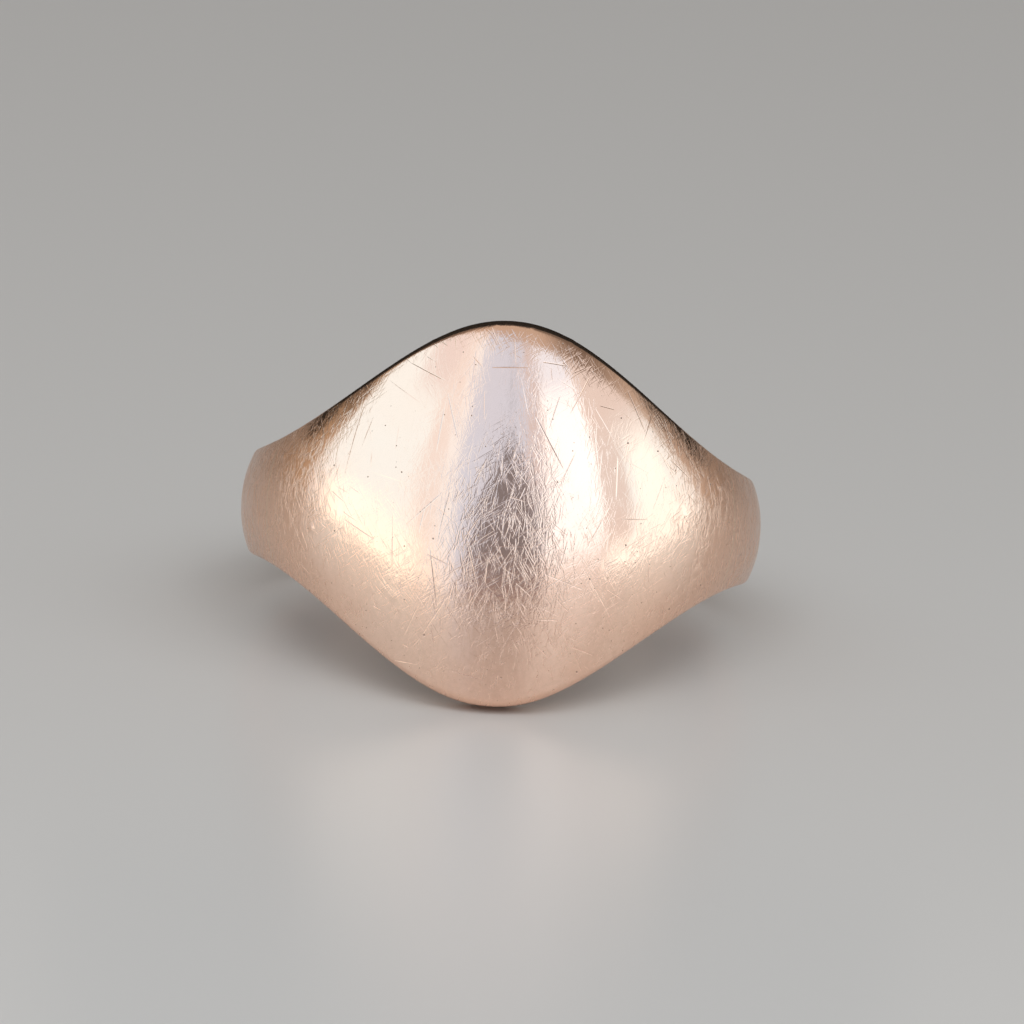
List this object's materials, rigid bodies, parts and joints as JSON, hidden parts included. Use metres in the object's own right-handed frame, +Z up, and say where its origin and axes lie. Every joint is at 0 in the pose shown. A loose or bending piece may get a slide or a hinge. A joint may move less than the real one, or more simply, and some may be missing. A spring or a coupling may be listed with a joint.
{
  "type": "signet ring",
  "caption": "Plain uncarved signet ring: domed soft-oval head flowing through tapered shoulders into a D-section shank, lying on its side edges.",
  "frame": {"origin": "on the table the ring lies on, under the middle of its bounding box", "axes": "+Z up from the table, -Y the way the signet faces, +X to the right of someone who looks at the signet; the finger axis leans 17.2 degrees back from +Z towards +Y"},
  "size_m": [0.02, 0.0214, 0.0141],
  "materials": {
    "head_gold": "rose gold alloy, once polished, now softened by fine wear scratches",
    "shank_gold": "rose gold alloy, satin from wear, a little duller than the head",
    "solder": "gold solder, paler and yellower than the ring, filed flush"
  },
  "bodies": {
    "root": {"signet_head": "head_gold", "shank_right": "shank_gold", "shank_left": "shank_gold", "solder_right_shoulder": "solder", "solder_left_shoulder": "solder", "solder_back": "solder"}
  },
  "joints": []
}
